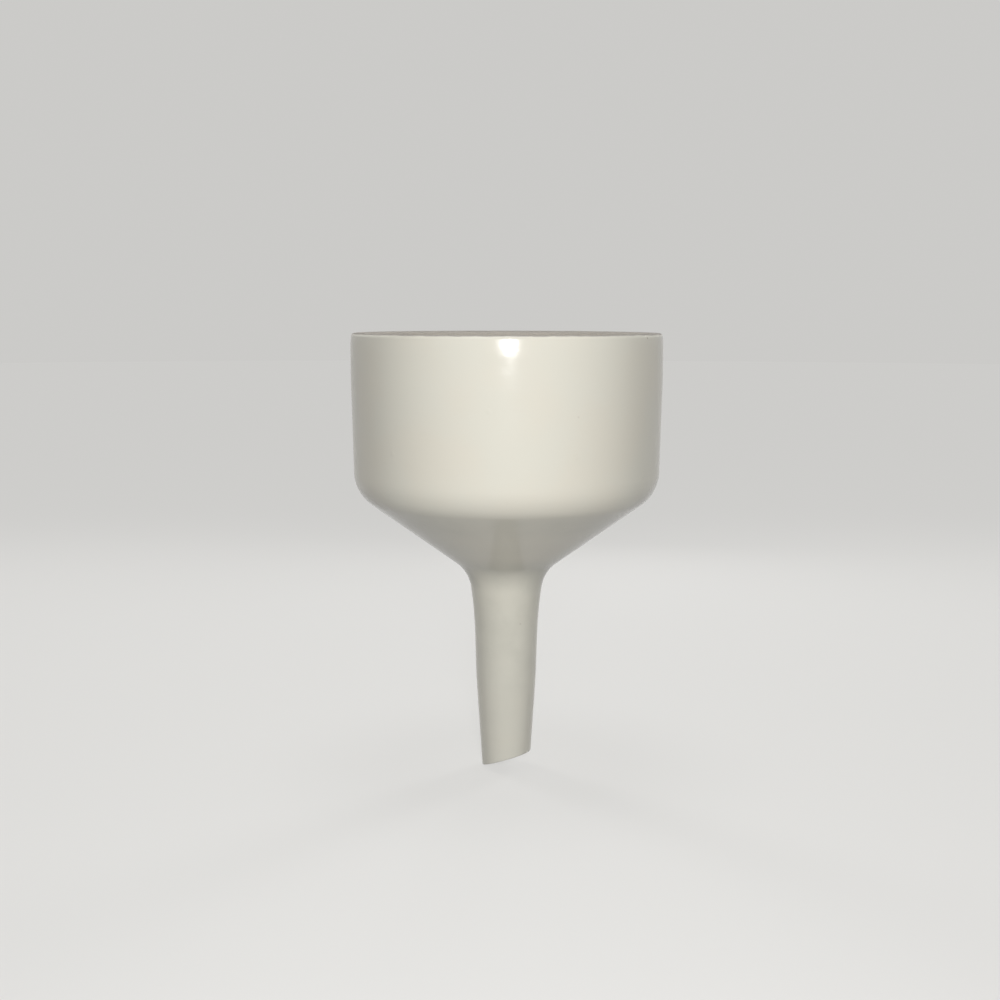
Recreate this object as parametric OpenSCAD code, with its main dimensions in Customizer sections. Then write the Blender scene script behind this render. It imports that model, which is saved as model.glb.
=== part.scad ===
// Filter funnel of glazed porcelain with a fixed perforated plate (Buchner pattern).
// Stem, cone, plate and bowl are formed apart, joined with rings of slip and fired together.
// The funnel's axis is Z with the mouth up. Z = 0 is the seat, where the cone meets the stem
// and the stopper of a suction flask stops. Millimetres and degrees.

/* [Bowl] */
// Outside diameter of the rim
rim_d = 102; // [94:0.5:112]
// Height of the wall, from the shoulder's corner to the rim
wall_h = 51.7; // [44:0.1:70]
// Length of the wall below the rim that has parallel sides
straight_h = 16; // [10:1:24]
// How far the wall draws in between the parallel part and the shoulder, on the radius
wall_draw = 0.8; // [0.4:0.1:2]
// Thickness of the wall of the bowl, the cone and the stem
wall = 4; // [3.2:0.1:4.8]
// Radius of the rim's two edges
rim_round = 1.1; // [0.6:0.1:1.5]

/* [Cone] */
// Height of the shoulder's corner above the seat
shoulder_h = 27.3; // [22:0.1:34]
// Outer radius of the shoulder
shoulder_round = 13; // [8:0.5:15]

/* [Perforated plate] */
// Thickness of the plate
plate_t = 5; // [3:0.5:8]
// Height of the plate's ledge above the shoulder's corner
ledge_rise = 6; // [5:0.1:9]
// Width of the ledge that carries the plate
ledge_w = 2.8; // [2:0.1:4]
// Diameter of one hole
hole_d = 2.2; // [1.5:0.1:3]
// Distance from one ring of holes to the next
ring_pitch = 6.2; // [5:0.1:9]
// Least plain width between the outermost holes and the ledge
hole_margin = 2; // [1:0.5:5]

/* [Stem] */
// Length of the stem, from the seat to the lowest point of its tip
stem_l = 67.2; // [50:0.2:90]
// Outside diameter of the stem at the seat
root_d = 25; // [23:0.1:28]
// Outside diameter of the stem where its flare ends
waist_d = 21.4; // [20:0.1:22.8]
// Distance of the flare's end below the seat
waist_drop = 14; // [13:0.2:20]
// Outside diameter of the stem where its tapered end starts
taper_d = 20; // [18.6:0.1:20.8]
// Distance of the tapered end's start below the seat
taper_drop = 35.8; // [30:0.2:42]
// Radius of the bend where the tapered end starts
taper_round = 60; // [20:5:80]
// Outside diameter of the stem at its tip
tip_d = 16; // [13:0.1:20]
// Radius of the hollow curve from the stem to the cone
root_round = 13; // [8:0.5:15]
// Slope of the cut across the tip
bevel = 20; // [8:1:35]

/* [Slip joints] */
// Height of a ring of slip between two bodies
slip_t = 0.8; // [0.4:0.1:1.2]
// Width of the ring of slip round the plate
slip_w = 0.8; // [0.4:0.1:1.2]

/* [Hidden] */
$fn = 96;
glaze = [0.89, 0.87, 0.81];
plate_glaze = [0.87, 0.85, 0.79];
fired_slip = [0.85, 0.82, 0.74];
// Share of the parallel wall that the slow bend at its lower end takes up
wall_ease = 0.3;
// Share of the shorter straight beside the flare's end that the slow bend there takes up
flare_ease = 0.5;
// Smallest turn that a slow bend is worked out for, so that a straight run still has a radius
least_turn = 0.05;
// Finest angle of an arc, and the fewest steps that one is drawn with
arc_step = 5;
arc_least = 4;
// How far a cutting solid runs past what it cuts
past = 1;
rim_r = rim_d / 2;
rim_z = shoulder_h + wall_h;
foot_r = rim_r - wall_draw;
straight_z = rim_z - straight_h;
wall_lean = atan2(wall_draw, straight_z - shoulder_h);
ledge_z = shoulder_h + ledge_rise;
// Inside radius of the drawn-in wall where the plate's ledge meets it
bore_r = foot_r + ledge_rise * tan(wall_lean) - wall / cos(wall_lean);
ledge_r = bore_r - ledge_w;
plate_r = bore_r - slip_w;
rings = floor((ledge_r - hole_margin - hole_d / 2) / ring_pitch);
waist_bend = flare_ease * min(waist_drop, taper_drop - waist_drop);

// The outline's corners from the tip up to the rim: radius, height
tip = [tip_d / 2, -stem_l];
taper = [taper_d / 2, -taper_drop];
waist = [waist_d / 2, -waist_drop];
root = [root_d / 2, 0];
shoulder = [foot_r, shoulder_h];
brow = [rim_r, straight_z];
rim = [rim_r, rim_z];

// Direction from corner a to corner b, and its normal towards the axis
function along(a, b) = let (v = [b[0] - a[0], b[1] - a[1]]) v / norm(v);
function inward(d) = [-d[1], d[0]];
// Angle through which the outline turns at corner b, positive towards the axis
function turn(a, b, c) = asin(cross(along(a, b), along(b, c)));
// Radius of the bend at corner b that starts and ends at a given distance from the corner
function slow_bend(a, b, c, distance) = distance / tan(max(abs(turn(a, b, c)), least_turn) / 2);

// The outside, with the radius of its curve added to each corner
outside = [
    [each tip, 0],
    [each taper, taper_round],
    [each waist, slow_bend(taper, waist, root, waist_bend)],
    [each root, root_round],
    [each shoulder, shoulder_round],
    [each brow, slow_bend(shoulder, brow, rim, wall_ease * straight_h)],
    [each rim, rim_round]
];
last = len(outside) - 1;

// Corner b carried inwards by the wall, with its curve's radius changed to match
function inset(a, b, c) =
    let (n = inward(along(a, b)), m = inward(along(b, c)), move = (n + m) * wall / (1 + n * m))
    [b[0] + move[0], b[1] + move[1], b[2] - sign(turn(a, b, c)) * wall];

// The inside from the rim down to the tip, parallel to the outside
inside = concat(
    [[rim_r - wall, rim_z, rim_round]],
    [for (i = [last - 1:-1:1]) inset(outside[i - 1], outside[i], outside[i + 1])],
    [[tip_d / 2 - wall, -stem_l, 0]]
);

// The arc that replaces corner b
function corner_arc(a, b, c) =
    let (
        d = along(a, b),
        bend = turn(a, b, c),
        start = [b[0], b[1]] - d * b[2] * tan(abs(bend) / 2),
        centre = start + inward(d) * sign(bend) * b[2],
        spoke = start - centre,
        steps = max(arc_least, ceil(abs(bend) / arc_step))
    )
    [for (i = [0:steps])
        let (t = i / steps * bend)
        centre + [spoke[0] * cos(t) - spoke[1] * sin(t), spoke[0] * sin(t) + spoke[1] * cos(t)]];

// A closed outline with an arc at each corner that has a radius
function rounded(corners) =
    let (n = len(corners))
    [for (i = [0:n - 1])
        each corners[i][2] == 0
            ? [[corners[i][0], corners[i][1]]]
            : corner_arc(corners[(i + n - 1) % n], corners[i], corners[(i + 1) % n])];

// Half-sections beside the axis: the wall itself, all that lies within its outside, and the hollow
module wall_section() {
    polygon(rounded(concat(outside, inside)));
}

module filled_section() {
    polygon(rounded(concat([[0, -stem_l, 0]], outside, [[0, rim_z, 0]])));
}

module hollow_section() {
    polygon(rounded(concat([[0, rim_z, 0]], inside, [[0, -stem_l, 0]])));
}

// A rectangle of the half-section, from one radius to another and from one height to another
module block(inner_r, outer_r, low, high) {
    translate([inner_r, low])
        square([outer_r - inner_r, high - low]);
}

// The part of the wall between two heights
module wall_between(low, high) {
    rotate_extrude()
        intersection() {
            wall_section();
            block(0, rim_r + past, low, high);
        }
}

// Upper wall of the funnel with its rounded rim
module bowl() {
    color(glaze)
        wall_between(ledge_z + slip_t, rim_z + past);
}

module bowl_slip_ring() {
    color(fired_slip)
        wall_between(ledge_z, ledge_z + slip_t);
}

// Rings of holes: one in the middle, then 6, 12, 18 and so on
module sieve_plate() {
    color(plate_glaze)
        difference() {
            translate([0, 0, ledge_z])
                cylinder(r = plate_r, h = plate_t);
            for (ring = [0:rings], k = [0:max(6 * ring, 1) - 1])
                rotate([0, 0, k * 360 / max(6 * ring, 1)])
                    translate([ring * ring_pitch, 0, ledge_z - past])
                        cylinder(d = hole_d, h = plate_t + 2 * past);
        }
}

// Seals the plate's edge to the wall of the bowl, flush with the plate's face
module plate_slip_ring() {
    color(fired_slip)
        rotate_extrude()
            intersection() {
                hollow_section();
                block(plate_r, rim_r, ledge_z, ledge_z + plate_t);
            }
}

// The cone and the shoulder, which is thicker inside to give the plate its ledge
module cone() {
    color(glaze)
        rotate_extrude()
            difference() {
                intersection() {
                    filled_section();
                    block(0, rim_r, slip_t / 2, ledge_z);
                }
                intersection() {
                    hollow_section();
                    block(0, ledge_r, 0, rim_z);
                }
            }
}

module stem_slip_ring() {
    color(fired_slip)
        wall_between(-slip_t / 2, slip_t / 2);
}

// Everything below the slanting cut, whose lowest point is on the tip's -X side
module below_bevel() {
    size = 4 * tip_d;
    translate([-tip_d / 2, 0, -stem_l])
        rotate([0, -bevel, 0])
            translate([-size / 2, -size / 2, -size])
                cube(size);
}

module stem() {
    color(glaze)
        difference() {
            wall_between(-stem_l - past, -slip_t / 2);
            below_bevel();
        }
}

bowl();
bowl_slip_ring();
sieve_plate();
plate_slip_ring();
cone();
stem_slip_ring();
stem();
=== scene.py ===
# Filter funnel of glazed porcelain with a fixed perforated plate, in a plain studio. Metres.
import math

import bmesh
import bpy
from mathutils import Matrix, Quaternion, Vector


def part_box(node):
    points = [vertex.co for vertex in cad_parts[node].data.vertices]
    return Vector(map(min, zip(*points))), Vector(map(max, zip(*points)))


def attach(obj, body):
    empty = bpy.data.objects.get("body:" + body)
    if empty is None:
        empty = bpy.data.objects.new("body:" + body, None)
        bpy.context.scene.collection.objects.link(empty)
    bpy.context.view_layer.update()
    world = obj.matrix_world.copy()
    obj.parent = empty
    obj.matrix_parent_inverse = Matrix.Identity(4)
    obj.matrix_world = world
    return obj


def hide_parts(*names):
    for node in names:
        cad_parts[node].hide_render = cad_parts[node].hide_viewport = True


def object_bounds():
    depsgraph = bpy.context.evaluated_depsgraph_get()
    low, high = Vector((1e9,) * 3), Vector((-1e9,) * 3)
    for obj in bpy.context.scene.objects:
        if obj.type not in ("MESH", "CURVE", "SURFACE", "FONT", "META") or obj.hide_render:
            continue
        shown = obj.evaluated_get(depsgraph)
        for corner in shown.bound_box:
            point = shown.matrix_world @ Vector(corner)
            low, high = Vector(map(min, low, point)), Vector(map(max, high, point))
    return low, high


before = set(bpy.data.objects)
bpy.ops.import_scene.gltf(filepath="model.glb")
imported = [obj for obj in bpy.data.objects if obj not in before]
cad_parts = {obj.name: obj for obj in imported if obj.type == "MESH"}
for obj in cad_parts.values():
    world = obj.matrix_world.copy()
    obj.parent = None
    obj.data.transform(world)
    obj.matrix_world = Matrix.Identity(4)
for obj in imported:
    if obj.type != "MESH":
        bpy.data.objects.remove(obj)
cad_low, cad_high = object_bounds()

# ---------------------------------------------------------------------------------------------
# Cone. The middle body of white porcelain, cast in a plaster mould: a round shoulder over a
# straight cone, with a ledge inside for the plate. Stem and bowl are joined to it with slip,
# and one cream glaze runs over all of them.

mm = 0.001
wall = 4.0 * mm
# The outline's corners from the tip up to the rim: radius, height, and radius of the curve there
tip_r = 8.0 * mm
taper_r = 10.0 * mm
taper_z = -35.8 * mm
taper_round = 60.0 * mm
waist_r = 10.7 * mm
waist_z = -14.0 * mm
root_r = 12.5 * mm
root_round = 13.0 * mm
shoulder_z = 27.3 * mm
shoulder_draw = 0.8 * mm
shoulder_round = 13.0 * mm
straight_h = 16.0 * mm
rim_round = 1.1 * mm
rim_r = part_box("bowl")[1].x
rim_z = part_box("bowl")[1].z
tip_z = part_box("stem")[0].z
shoulder_r = rim_r - shoulder_draw
brow_z = rim_z - straight_h
# Share of the straight beside it that a slow bend takes up: at the flare's end, below the rim
flare_ease = 0.5
brow_ease = 0.3
# Fineness of the outline: degrees and fewest steps of an arc, longest straight step
arc_step = 3
arc_least = 6
longest_step = 0.5 * mm
ledge_w = 2.8 * mm
ledge_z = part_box("sieve_plate")[0].z
turned_columns = 256
sharp_from = math.radians(38)


def along(a, b):
    """Direction from corner a to corner b."""
    return (Vector(b[:2]) - Vector(a[:2])).normalized()


def inward(d):
    """Direction d turned a quarter to the left, which is towards the axis on the way up."""
    return Vector((-d.y, d.x))


def turn(a, b, c):
    """Angle through which the outline turns at corner b, positive towards the axis."""
    d, e = along(a, b), along(b, c)
    return math.asin(d.x * e.y - d.y * e.x)


def slow_bend(a, b, c, distance):
    """Radius of the bend at b that starts and ends at that distance from the corner."""
    return distance / math.tan(abs(turn(a, b, c)) / 2)


def inset(a, b, c):
    """Corner b carried inwards by the wall, with its curve's radius to match."""
    n, m = inward(along(a, b)), inward(along(b, c))
    move = (n + m) * wall / (1 + n.dot(m))
    return (b[0] + move.x, b[1] + move.y, b[2] - math.copysign(wall, turn(a, b, c)))


def corner_arc(a, b, c):
    """The arc that replaces corner b."""
    bend = turn(a, b, c)
    d = along(a, b)
    start = Vector(b[:2]) - d * b[2] * math.tan(abs(bend) / 2)
    centre = start + inward(d) * math.copysign(b[2], bend)
    spoke = start - centre
    steps = max(arc_least, math.ceil(math.degrees(abs(bend)) / arc_step))
    points = []
    for i in range(steps + 1):
        t = i / steps * bend
        x = spoke.x * math.cos(t) - spoke.y * math.sin(t)
        y = spoke.x * math.sin(t) + spoke.y * math.cos(t)
        points.append(centre + Vector((x, y)))
    return points


def trace(corners):
    """The outline past these corners, rounded, with a point at least every longest_step."""
    bare = [Vector(corners[0][:2])]
    for a, b, c in zip(corners, corners[1:], corners[2:]):
        bare += corner_arc(a, b, c)
    bare.append(Vector(corners[-1][:2]))
    line = [bare[0]]
    for p in bare[1:]:
        parts = max(1, math.ceil((p - line[-1]).length / longest_step))
        start = line[-1]
        line += [start.lerp(p, i / parts) for i in range(1, parts + 1)]
    return line


def stretch(line, low, high):
    """The part of an outline between two heights, with its ends on them."""
    part = []
    for p, q in zip(line, line[1:]):
        if low <= p.y <= high:
            part.append(p)
        for level in (low, high):
            if min(p.y, q.y) < level < max(p.y, q.y):
                part.append(p.lerp(q, (level - p.y) / (q.y - p.y)))
    if low <= line[-1].y <= high:
        part.append(line[-1])
    return part


def radius_at(line, z):
    """Radius of an outline at a height, or the tip's where it has none."""
    for p, q in zip(line, line[1:]):
        if min(p.y, q.y) <= z <= max(p.y, q.y) and p.y != q.y:
            return p.x + (q.x - p.x) * (z - p.y) / (q.y - p.y)
    return tip_r


tip = (tip_r, tip_z)
taper = (taper_r, taper_z)
waist = (waist_r, waist_z)
root = (root_r, 0.0)
shoulder = (shoulder_r, shoulder_z)
brow = (rim_r, brow_z)
rim = (rim_r, rim_z)
mid_rim = (rim_r - wall / 2, rim_z, 0.0)
outside = [
    (*tip, 0.0),
    (*taper, taper_round),
    (*waist, slow_bend(taper, waist, root, flare_ease * min(-waist_z, waist_z - taper_z))),
    (*root, root_round),
    (*shoulder, shoulder_round),
    (*brow, slow_bend(shoulder, brow, rim, brow_ease * straight_h)),
    (*rim, rim_round),
]
inside = [(rim_r - wall, rim_z, rim_round)]
for a, b, c in reversed(list(zip(outside, outside[1:], outside[2:]))):
    inside.append(inset(a, b, c))
outer_line = trace([*outside, mid_rim])
inner_line = trace([mid_rim, *inside, (tip_r - wall, tip_z, 0.0)])


def hand(angle, height):
    """How far the turned and fettled wall strays from a true circle, as waves of so many mm."""
    oval = 0.030 * math.cos(2 * angle + 0.7)
    three_lobes = 0.018 * math.cos(3 * angle + 2.1)
    drift = 0.022 * math.sin(height / (9.0 * mm) + 1.1 * math.sin(angle))
    tool_rings = 0.0030 * math.sin(height / (0.75 * mm) + 1.7 * math.sin(angle + 0.4))
    fine_rings = 0.0010 * math.sin(height / (0.31 * mm) + 2.3 * math.sin(2 * angle + 1.9))
    return (oval + three_lobes + drift + (tool_rings + fine_rings)) * mm


def skin(bm, loops):
    """Quads between each closed loop of points and the next."""
    for near, far in zip(loops, loops[1:]):
        for k in range(len(near)):
            n = (k + 1) % len(near)
            bm.faces.new((near[k], far[k], far[n], near[n]))


def finish_piece(name, bm):
    """Makes the object of a piece from its closed mesh, smooth, riding on the funnel."""
    bmesh.ops.recalc_face_normals(bm, faces=bm.faces)
    mesh = bpy.data.meshes.new(name)
    bm.to_mesh(mesh)
    bm.free()
    for face in mesh.polygons:
        face.use_smooth = True
    mesh.set_sharp_from_angle(angle=sharp_from)
    piece = bpy.data.objects.new(name, mesh)
    bpy.context.scene.collection.objects.link(piece)
    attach(piece, "root")
    return piece


def column_of(bm, a, profile):
    """The profile's points at one angle round the axis, with the unevenness of handwork."""
    column = []
    for r, z in profile:
        r += hand(a, z)
        column.append(bm.verts.new((r * math.cos(a), r * math.sin(a), z)))
    return column


def turned(name, profile):
    """A closed ring turned from a closed profile."""
    bm = bmesh.new()
    columns = []
    for k in range(turned_columns):
        columns.append(column_of(bm, 2 * math.pi * k / turned_columns, profile))
    skin(bm, columns + columns[:1])
    return finish_piece(name, bm)


cream = (0.773, 0.750, 0.656, 1.0)
pooled_and_shaded_cream = (0.670, 0.653, 0.567, 1.0)
warm_cream = (0.780, 0.744, 0.643, 1.0)
iron_speck = (0.20, 0.115, 0.06, 1.0)
# Heights where the cream darkens, as painted shade over the stem and under the shoulder, with real
# glaze pooled in the
# hollow at the root: where that starts, is full, fades and has ended
root_pool_and_stem_shade = (-64 * mm, -16 * mm, 2 * mm, 9 * mm)
shade_under_shoulder_heights = (14 * mm, 19 * mm, 21 * mm, 26 * mm)
shoulder_shade_share = 0.6
# Share of the cells with a speck, and how dark the darkest speck is
speck_share = 0.18
speck_strength = 0.55
# How each mark passes from one distance to another from the middle of its cell
speck_fade = (0.044, 0.014)
blister_fade = (0.17, 0.0)
pinhole_rise = (0.012, 0.034)
blister_chance = (0.6, 0.95)
# Between these the soft patches go from nothing to full strength
patch_reach = (0.3, 0.7)
cloud_reach = (0.35, 0.65)
least_pool_and_shade = 0.5
# How far the glaze strays below and above its usual dullness
smoother = 0.02
duller = 0.03
# Fineness of each pattern, per metre
cloud_scale = 38.0
pool_and_shade_scale = 90.0
speck_scale = 95.0
gloss_scale = 140.0
blister_scale = 140.0
peel_scale = 620.0
band_scale = (16, 16, 300)
# Height of each unevenness of the surface
peel_height = 0.010 * mm
band_height = 0.022 * mm
blister_height = 0.06 * mm
pinhole_depth = 0.015 * mm


class Nodes:
    """Short calls for adding and joining the nodes of one material."""

    def __init__(self, name):
        self.material = bpy.data.materials.new(name)
        self.material.use_nodes = True
        self.tree = self.material.node_tree
        self.shader = self.tree.nodes["Principled BSDF"]
        self.place = self.add("ShaderNodeTexCoord").outputs["Object"]

    def add(self, kind, **settings):
        """A new node, with its own properties set."""
        node = self.tree.nodes.new(kind)
        for key, value in settings.items():
            setattr(node, key, value)
        return node

    def join(self, source, socket):
        """Leads an output into an input."""
        self.tree.links.new(source, socket)

    def stretched(self, x, y, z):
        """The place on the object, scaled along each axis."""
        node = self.add("ShaderNodeMapping")
        node.inputs["Scale"].default_value = (x, y, z)
        self.join(self.place, node.inputs["Vector"])
        return node.outputs["Vector"]

    def clouds(self, scale, detail=3.0, place=None):
        """Soft random patches between 0 and 1."""
        node = self.add("ShaderNodeTexNoise")
        node.inputs["Scale"].default_value = scale
        node.inputs["Detail"].default_value = detail
        self.join(place or self.place, node.inputs["Vector"])
        return node.outputs["Fac"]

    def cells(self, scale):
        """Scattered points: how far the nearest is, and three chances drawn for it."""
        node = self.add("ShaderNodeTexVoronoi")
        node.inputs["Scale"].default_value = scale
        self.join(self.place, node.inputs["Vector"])
        chances = self.add("ShaderNodeSeparateColor")
        self.join(node.outputs["Color"], chances.inputs["Color"])
        return node.outputs["Distance"], chances.outputs

    def span(self, source, low, high, to_low=0.0, to_high=1.0):
        """Passes smoothly from one value to another while the source goes from low to high."""
        node = self.add("ShaderNodeMapRange", interpolation_type="SMOOTHSTEP")
        node.inputs["From Min"].default_value = low
        node.inputs["From Max"].default_value = high
        node.inputs["To Min"].default_value = to_low
        node.inputs["To Max"].default_value = to_high
        self.join(source, node.inputs["Value"])
        return node.outputs["Result"]

    def between(self, source, start, full, fade, end):
        """1 where the source lies from full to fade, and 0 before start and past end."""
        return self.maths("MULTIPLY", self.span(source, start, full), self.span(source, end, fade))

    def maths(self, operation, a, b):
        """One operation on two numbers or sockets."""
        node = self.add("ShaderNodeMath", operation=operation)
        for socket, value in zip(node.inputs, (a, b)):
            if isinstance(value, (int, float)):
                socket.default_value = value
            else:
                self.join(value, socket)
        return node.outputs[0]

    def blend(self, amount, a, b):
        """Colour a where the amount is 0, colour b where it is 1."""
        node = self.add("ShaderNodeMix", data_type="RGBA")
        self.join(amount, node.inputs["Factor"])
        for socket, value in ((node.inputs[6], a), (node.inputs[7], b)):
            if isinstance(value, tuple):
                socket.default_value = value
            else:
                self.join(value, socket)
        return node.outputs[2]

    def relief(self, height, distance, under=None):
        """Raises the surface by up to the distance, on top of another relief if there is one."""
        node = self.add("ShaderNodeBump")
        node.inputs["Strength"].default_value = 1.0
        node.inputs["Distance"].default_value = distance
        self.join(height, node.inputs["Height"])
        if under is not None:
            self.join(under, node.inputs["Normal"])
        return node.outputs["Normal"]


def glaze(name, tint=cream, dullness=0.12, unglazed=None):
    """Cream glaze: soft clouds, painted shade over the stem and under the shoulder with real pooling
    at the root, rare iron specks, pinholes and blisters.
    """
    m = Nodes(name)
    height = m.add("ShaderNodeSeparateXYZ")
    m.join(m.place, height.inputs["Vector"])
    z = height.outputs["Z"]

    clouds = m.span(m.clouds(cloud_scale), *cloud_reach)
    colour = m.blend(clouds, tint, warm_cream)
    # Painted shade: the cream goes darker under the shoulder and over the stem, in soft patches. Only
    # in the root's hollow is it glaze that has pooled.
    shade_under_shoulder = m.maths("MULTIPLY", m.between(z, *shade_under_shoulder_heights), shoulder_shade_share)
    pool_and_shade = m.maths("MAXIMUM", m.between(z, *root_pool_and_stem_shade), shade_under_shoulder)
    pool_and_shade = m.maths("MULTIPLY", pool_and_shade, m.span(m.clouds(pool_and_shade_scale), *patch_reach, least_pool_and_shade))
    colour = m.blend(pool_and_shade, colour, pooled_and_shaded_cream)

    speck_distance, chances = m.cells(speck_scale)
    chosen = m.maths("GREATER_THAN", chances["Red"], 1 - speck_share)
    dot = m.span(speck_distance, *speck_fade)
    faint = m.maths("MULTIPLY", m.maths("MULTIPLY", chosen, dot), chances["Green"])
    colour = m.blend(m.maths("MULTIPLY", faint, speck_strength), colour, iron_speck)

    fine_patches = m.clouds(gloss_scale, detail=5.0)
    rough = m.span(fine_patches, *patch_reach, dullness - smoother, dullness + duller)
    if unglazed is not None:
        colour, rough = unglazed(m, z, colour, rough)
    m.join(colour, m.shader.inputs["Base Color"])
    m.join(rough, m.shader.inputs["Roughness"])

    peel = m.relief(m.clouds(peel_scale, detail=2.0), peel_height)
    turning_marks = m.clouds(1.0, place=m.stretched(*band_scale))
    bands = m.relief(turning_marks, band_height, peel)
    blister_distance, chances = m.cells(blister_scale)
    risen = m.span(chances["Blue"], *blister_chance)
    swelling = m.maths("MULTIPLY", m.span(blister_distance, *blister_fade), risen)
    blisters = m.relief(swelling, blister_height, bands)
    pinholes = m.relief(m.span(speck_distance, *pinhole_rise), pinhole_depth, blisters)
    m.join(pinholes, m.shader.inputs["Normal"])
    m.shader.inputs["IOR"].default_value = 1.52
    return m.material


cone_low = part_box("cone")[0].z
ledge_r = radius_at(inner_line, ledge_z) - ledge_w
cone_outer = stretch(outer_line, cone_low, ledge_z)
cone_inner = stretch(inner_line, cone_low, ledge_z)
hollow = [p for p in cone_inner if p.x <= ledge_r]
ledge_foot = hollow[0].y
ledge = [Vector((ledge_r, ledge_z)), Vector((ledge_r, (ledge_z + ledge_foot) / 2))]
cone = turned("cone_body", cone_outer + ledge + hollow)
cone.data.materials.append(glaze("cone_glaze"))
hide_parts("cone")

# ---------------------------------------------------------------------------------------------
# Perforated plate. A pressed disc of the same porcelain, pricked with 127 holes in rings while
# it was soft. It lies on the cone's ledge, and the glaze has rounded the mouths of its holes.

plate_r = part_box("sieve_plate")[1].x
plate_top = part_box("sieve_plate")[1].z
plate_sides = 192
hole_r = 1.1 * mm
hole_sides = 24
hole_rings = 6
ring_pitch = 6.2 * mm
mouth_round = 0.35 * mm
mouth_steps = 4
plate_cream = (0.76, 0.732, 0.642, 1.0)
plate_dullness = 0.2


def ring_of(bm, x, y, r, z, sides):
    """A level ring of points round the upright line at x, y."""
    points = []
    for k in range(sides):
        a = 2 * math.pi * k / sides
        points.append(bm.verts.new((x + r * math.cos(a), y + r * math.sin(a), z)))
    return points


def loop_edges(bm, ring):
    """The edges from each point of a ring to the next."""
    return [bm.edges.get((a, b)) for a, b in zip(ring, ring[1:] + ring[:1])]


def hole_side():
    """Radius and height down a hole, whose mouths are rounded above and below."""
    mouth = []
    for i in range(mouth_steps + 1):
        t = math.pi / 2 * i / mouth_steps
        r = hole_r + mouth_round * (1 - math.sin(t))
        mouth.append((r, plate_top - mouth_round * (1 - math.cos(t))))
    return mouth + [(r, ledge_z + plate_top - z) for r, z in reversed(mouth)]


plate_mesh = bmesh.new()
walls = [[ring_of(plate_mesh, 0, 0, plate_r, z, plate_sides) for z in (plate_top, ledge_z)]]
for ring in range(hole_rings + 1):
    count = max(1, 6 * ring)
    for k in range(count):
        a = 2 * math.pi * k / count
        x, y = ring * ring_pitch * math.cos(a), ring * ring_pitch * math.sin(a)
        walls.append([ring_of(plate_mesh, x, y, r, z, hole_sides) for r, z in hole_side()])
top_edges = []
bottom_edges = []
for rings in walls:
    skin(plate_mesh, rings)
    top_edges += loop_edges(plate_mesh, rings[0])
    bottom_edges += loop_edges(plate_mesh, rings[-1])
for edges in (top_edges, bottom_edges):
    bmesh.ops.triangle_fill(plate_mesh, use_beauty=True, edges=edges)
plate = finish_piece("perforated_plate", plate_mesh)
plate.modifiers.new("flat faces", "WEIGHTED_NORMAL").keep_sharp = True
plate.data.materials.append(glaze("plate_glaze", plate_cream, plate_dullness))
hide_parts("sieve_plate")

# ---------------------------------------------------------------------------------------------
# Ring of slip round the plate. Liquid porcelain was brushed into the gap between the plate and
# the wall. It fired solid, and the glaze left a small hollow fillet along the wall.

fillet = 0.9 * mm
fillet_steps = 8
slip_cream = (0.768, 0.734, 0.636, 1.0)
slip_dullness = 0.16
wall_beside = stretch(inner_line, ledge_z, plate_top + fillet)
fillet_centre = Vector((wall_beside[0].x - fillet, plate_top + fillet))
hollow_arc = []
for i in range(fillet_steps + 1):
    t = math.pi / 2 * i / fillet_steps
    hollow_arc.append(fillet_centre + fillet * Vector((math.sin(t), -math.cos(t))))
slip_profile = hollow_arc + wall_beside + [Vector((plate_r, ledge_z)), Vector((plate_r, plate_top))]
plate_slip = turned("plate_slip_ring_fillet", slip_profile)
plate_slip.data.materials.append(glaze("plate_slip_glaze", slip_cream, slip_dullness))
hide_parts("plate_slip_ring")

# ---------------------------------------------------------------------------------------------
# Ring of slip between cone and bowl. A thin seam of fired slip, fettled flush with both bodies
# and covered by the glaze.

seam_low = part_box("bowl_slip_ring")[0].z
seam_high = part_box("bowl_slip_ring")[1].z


def wall_between(low, high):
    """Closed profile of the wall from one height to another."""
    return stretch(outer_line, low, high) + stretch(inner_line, low, high)


bowl_slip = turned("bowl_slip_seam", wall_between(seam_low, seam_high))
bowl_slip.data.materials.append(glaze("bowl_slip_glaze"))
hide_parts("bowl_slip_ring")

# ---------------------------------------------------------------------------------------------
# Bowl. The upper body, turned on the wheel with a thick wall. It eases in a little below the
# rim. The flat of the rim is bare of glaze, because the funnel was fired standing on it. Its bare
# body is painted darker than it is, as painted shade on the rim band.

ease_h = 6.0 * mm
ease_in = 0.30 * mm
# The bare body's colour is partly its own duller tone and partly painted shade on the rim band.
shaded_bare_body = (0.43, 0.40, 0.365, 1.0)
shaded_bare_grain = (0.49, 0.46, 0.42, 1.0)
grain_scale = 2500.0
bare_rough = 0.9
glazed_shine = 0.5
bare_shine = 0.04
# The glaze ends a little below the flat, raggedly, and lower down on the rim's inner edge,
# where the darker bare band is painted shade inside the mouth
bare_from = rim_z - 0.2 * mm
bare_fade = 0.25 * mm
ragged = 0.5 * mm
ragged_scale = 300.0
inner_edge_r = rim_r - 2.6 * mm
inner_edge_w = 0.4 * mm
inner_shade_drop = 1.5 * mm


def eased(p):
    """Draws the outside in towards the rim."""
    t = max(0.0, (p.y - (rim_z - ease_h)) / ease_h)
    return Vector((p.x - ease_in * t * t, p.y)) if p.x > mid_rim[0] else p


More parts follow.
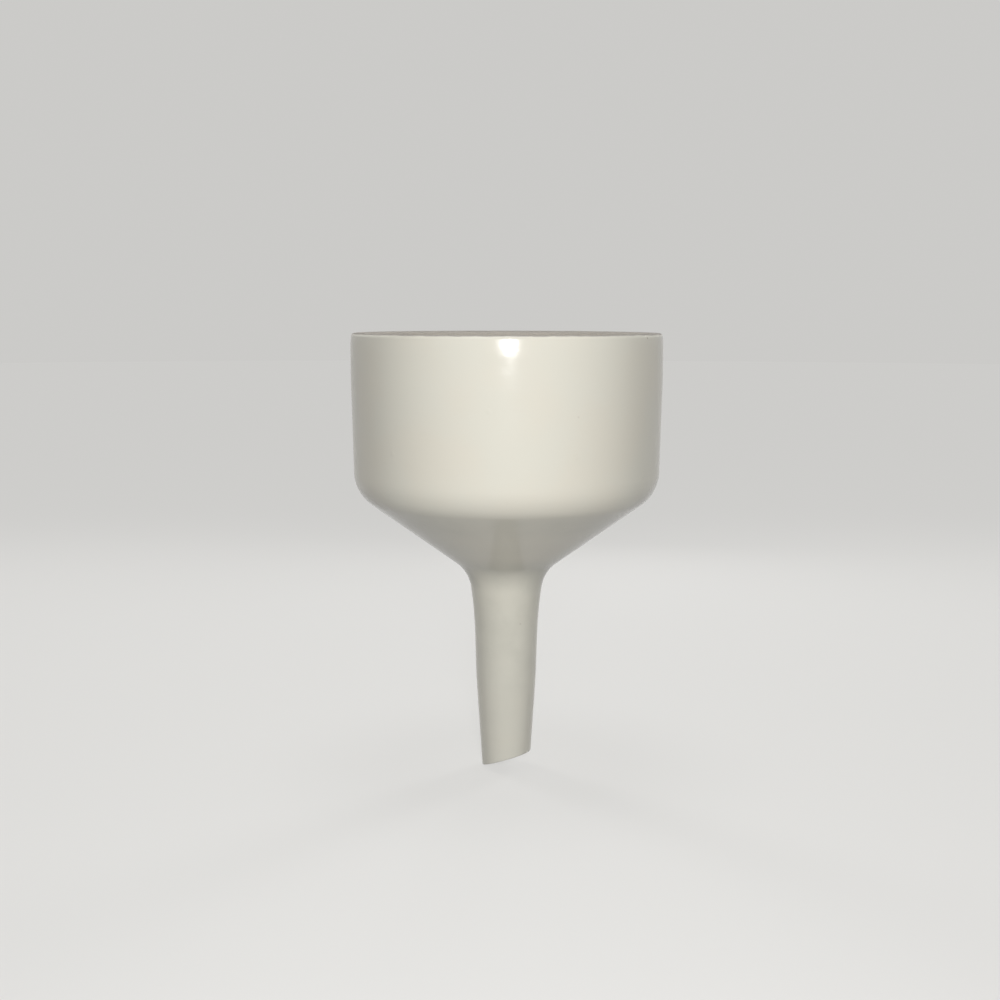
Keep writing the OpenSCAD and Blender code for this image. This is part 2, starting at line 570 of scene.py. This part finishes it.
def bare_and_shaded_rim(m, z, colour, rough):
    """Takes the glaze off the flat of the rim, down to the matt and grainy body painted darker as
    shade, and lower down the inner edge as painted shade.
    """
    radius = m.add("ShaderNodeVectorMath", operation="LENGTH")
    m.join(m.stretched(1, 1, 0), radius.inputs[0])
    # Painted shade: the bare band reaches further down the rim's inner edge, where the mouth is in
    # shade.
    inner_shade = m.span(radius.outputs["Value"], inner_edge_r, inner_edge_r - inner_edge_w, 0.0, inner_shade_drop)
    level = m.maths("ADD", z, m.maths("MULTIPLY", m.clouds(ragged_scale), ragged))
    bare = m.span(m.maths("ADD", level, inner_shade), bare_from, bare_from + bare_fade)
    grain = m.span(m.clouds(grain_scale, detail=4.0), *patch_reach)
    shine = m.maths("SUBTRACT", glazed_shine, m.maths("MULTIPLY", bare, glazed_shine - bare_shine))
    m.join(shine, m.shader.inputs["Specular IOR Level"])
    colour = m.blend(bare, colour, m.blend(grain, shaded_bare_body, shaded_bare_grain))
    return colour, m.maths("MAXIMUM", rough, m.maths("MULTIPLY", bare, bare_rough))


bowl_profile = [eased(p) for p in stretch(outer_line, seam_high, rim_z)]
bowl_profile += stretch(inner_line, seam_high, rim_z)[1:]
bowl = turned("bowl_wall", bowl_profile)
bowl.data.materials.append(glaze("bowl_glaze", unglazed=bare_and_shaded_rim))
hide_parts("bowl")

# ---------------------------------------------------------------------------------------------
# Ring of slip between cone and stem. The same fired slip as in the seam under the bowl, brushed
# on where the two bodies were pressed together, then fettled flush and glazed over.

neck_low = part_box("stem_slip_ring")[0].z
neck_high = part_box("stem_slip_ring")[1].z
neck_slip = turned("stem_slip_seam", wall_between(neck_low, neck_high))
neck_slip.data.materials.append(glaze("stem_slip_glaze"))
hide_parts("stem_slip_ring")

# ---------------------------------------------------------------------------------------------
# Stem. A cast tube with a flare at its root. It tapers slightly at first and more towards its
# tip, which was cut at a slant so that drops leave it on one side. Glaze softens the cut's edges.

bevel = math.radians(20)
tip_edge = 0.35 * mm
tip_edge_steps = 3
stem_columns = 160
cut_rows = 40
# Below this height the rows of points lean over little by little, down to the slope of the cut
lean_from = -50.0 * mm
stem_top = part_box("stem")[1].z


def cut_height(x):
    """Height of the slanting cut, which is lowest on the -X side."""
    return tip_z + (x + tip_r) * math.tan(bevel)


def down_to_cut(line, upper, end_r, a):
    """Radius and height down one side of the wall at one angle, from the stem's top to the cut."""
    side = [(p.x, p.y) for p in upper]
    cut_z = cut_height(end_r * math.cos(a))
    for i in range(1, cut_rows + 1):
        z = lean_from + (cut_z - lean_from) * i / cut_rows
        side.append((radius_at(line, z), z))
    return side


stem_mesh = bmesh.new()
upper_outer = stretch(outer_line, lean_from, stem_top)[::-1]
upper_inner = stretch(inner_line, lean_from, stem_top)
stem_grid = []
for k in range(stem_columns):
    a = 2 * math.pi * k / stem_columns
    outer_side = down_to_cut(outer_line, upper_outer, tip_r, a)
    inner_side = down_to_cut(inner_line, upper_inner, tip_r - wall, a)
    stem_grid.append(column_of(stem_mesh, a, outer_side + inner_side[::-1]))
skin(stem_mesh, stem_grid + stem_grid[:1])
soft = stem_mesh.edges.layers.float.new("bevel_weight_edge")
inner_start = len(outer_side)
for i in (inner_start - 1, inner_start):
    for edge in loop_edges(stem_mesh, [column[i] for column in stem_grid]):
        edge[soft] = 1.0
stem = finish_piece("stem_tube", stem_mesh)
softened = stem.modifiers.new("soft tip edges", "BEVEL")
softened.limit_method = "WEIGHT"
softened.width = tip_edge
softened.segments = tip_edge_steps
stem.data.materials.append(glaze("stem_glaze"))
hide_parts("stem")

# ---------------------------------------------------------------------------------------------
# Studio. A large pale floor of matt paper at the height of the tip, and a pale surround of the
# same colour. Both show full strength only where they are seen, and give the object less light.

pale = (0.60, 0.595, 0.58, 1.0)
paper_seen = (0.16, 0.158, 0.154, 1.0)
paper_unseen = (0.06, 0.059, 0.057, 1.0)
paper_unseen_glow = 0.09
surround_unseen = (0.07, 0.07, 0.07, 1.0)
floor_r = 4.0
floor_sides = 96


def seen_directly(tree):
    """1 where a camera, mirror or glass ray looks, 0 where the light of the scene bounces."""
    path = tree.nodes.new("ShaderNodeLightPath")
    total = None
    for name in ("Is Camera Ray", "Is Glossy Ray", "Is Transmission Ray"):
        if total is None:
            total = path.outputs[name]
            continue
        node = tree.nodes.new("ShaderNodeMath")
        node.operation = "MAXIMUM"
        tree.links.new(total, node.inputs[0])
        tree.links.new(path.outputs[name], node.inputs[1])
        total = node.outputs[0]
    return total


def shade(tree, direct, unseen, seen):
    """One colour for the light that bounces, and another for what is looked at."""
    mix = tree.nodes.new("ShaderNodeMix")
    mix.data_type = "RGBA"
    mix.inputs[6].default_value = unseen
    mix.inputs[7].default_value = seen
    tree.links.new(direct, mix.inputs["Factor"])
    return mix.outputs[2]


floor_mesh = bmesh.new()
bmesh.ops.create_circle(floor_mesh, cap_ends=True, radius=floor_r, segments=floor_sides)
floor_data = bpy.data.meshes.new("floor")
floor_mesh.to_mesh(floor_data)
floor_mesh.free()
floor = bpy.data.objects.new("floor", floor_data)
floor.location.z = cad_low.z
bpy.context.scene.collection.objects.link(floor)
paper = bpy.data.materials.new("floor_paper")
paper.use_nodes = True
tree = paper.node_tree
paper_shader = tree.nodes["Principled BSDF"]
paper_shader.inputs["Roughness"].default_value = 0.9
paper_shader.inputs["Specular IOR Level"].default_value = 0.0
paper_shader.inputs["Emission Color"].default_value = pale
direct = seen_directly(tree)
tree.links.new(shade(tree, direct, paper_unseen, paper_seen), paper_shader.inputs["Base Color"])
glow = tree.nodes.new("ShaderNodeMapRange")
glow.inputs["To Min"].default_value = paper_unseen_glow
tree.links.new(direct, glow.inputs["Value"])
tree.links.new(glow.outputs["Result"], paper_shader.inputs["Emission Strength"])
floor_data.materials.append(paper)

world = bpy.data.worlds.new("surround")
bpy.context.scene.world = world
world.use_nodes = True
tree = world.node_tree
surround = tree.nodes["Background"]
surround.inputs["Strength"].default_value = 1.0
surround_shade = shade(tree, seen_directly(tree), surround_unseen, pale)
tree.links.new(surround_shade, surround.inputs["Color"])

# ---------------------------------------------------------------------------------------------
# Lamps. A small key lamp stands beside the camera and a weaker one behind the funnel. Two large
# soft ones light its far side without a gleam of their own, and one hangs over its mouth.

view_azimuth = 30.0
lamp_aim_z = 30 * mm
# Across a lamp: its middle, how far its rim is from there, and how far its full light reaches
lamp_middle = (0.5, 0.5, 0.0)
lamp_rim = 0.5
lamp_core = 0.15


def lamp(name, azimuth, height, distance, size, watts, spread=180.0):
    """A round lamp, softer at its edge. Azimuth 0 is in front, on the -Y side, +X is 90."""
    data = bpy.data.lights.new(name, "AREA")
    data.shape = "DISK"
    data.size = size
    data.energy = watts
    data.spread = math.radians(spread)
    data.use_nodes = True
    nodes, links = data.node_tree.nodes, data.node_tree.links
    across = nodes.new("ShaderNodeNewGeometry").outputs["Parametric"]
    reach = nodes.new("ShaderNodeVectorMath")
    reach.operation = "DISTANCE"
    reach.inputs[1].default_value = lamp_middle
    fall = nodes.new("ShaderNodeMapRange")
    fall.interpolation_type = "SMOOTHSTEP"
    fall.inputs["From Min"].default_value = lamp_rim
    fall.inputs["From Max"].default_value = lamp_core
    links.new(across, reach.inputs[0])
    links.new(reach.outputs["Value"], fall.inputs["Value"])
    links.new(fall.outputs["Result"], nodes["Emission"].inputs["Strength"])
    light = bpy.data.objects.new(name, data)
    a = math.radians(azimuth)
    light.location = (distance * math.sin(a), -distance * math.cos(a), height)
    aim = Vector((0, 0, lamp_aim_z)) - light.location
    light.rotation_euler = aim.to_track_quat("-Z", "Y").to_euler()
    light.visible_camera = False
    bpy.context.scene.collection.objects.link(light)
    return light


low_lamp = {"height": 115 * mm, "distance": 450 * mm}
lamp("key_lamp", view_azimuth + 1.5, size=84 * mm, watts=3.45, **low_lamp)
lamp("back_lamp", view_azimuth + 172.0, size=70 * mm, watts=0.6, **low_lamp)
far_lamp = {"height": 340 * mm, "distance": 900 * mm, "size": 400 * mm, "watts": 1.4, "spread": 70.0}
for name, turn_from_camera in (("far_lamp_left", -140.0), ("far_lamp_right", 140.0)):
    far = lamp(name, view_azimuth + turn_from_camera, **far_lamp)
    far.visible_glossy = False
lamp("mouth_lamp", azimuth=0.0, height=660 * mm, distance=1 * mm, size=340 * mm, watts=2.7)

# ---------------------------------------------------------------------------------------------
# Camera. It looks slightly down from just above the level of the mouth, a little to the left of
# the line through the axis.

camera_distance = 480 * mm
camera_height = rim_z + 7.5 * mm
camera_left = 2.15 * mm
camera_pitch = math.radians(7.44)
camera_roll = math.radians(0.08)
lens = bpy.data.cameras.new("camera")
lens.lens = 52.45
lens.sensor_width = 36.0
lens.clip_start = 0.01
lens.clip_end = 20.0
camera = bpy.data.objects.new("camera", lens)
a = math.radians(view_azimuth)
back = Vector((math.sin(a), -math.cos(a), 0))
right = Vector((math.cos(a), math.sin(a), 0))
camera.location = back * camera_distance - right * camera_left + Vector((0, 0, camera_height))
look = -back * math.cos(camera_pitch) - Vector((0, 0, math.sin(camera_pitch)))
aimed = look.to_track_quat("-Z", "Y")
aimed.rotate(Quaternion(look, -camera_roll))
camera.rotation_euler = aimed.to_euler()
bpy.context.scene.collection.objects.link(camera)
bpy.context.scene.camera = camera
bpy.context.scene.view_settings.view_transform = "Standard"
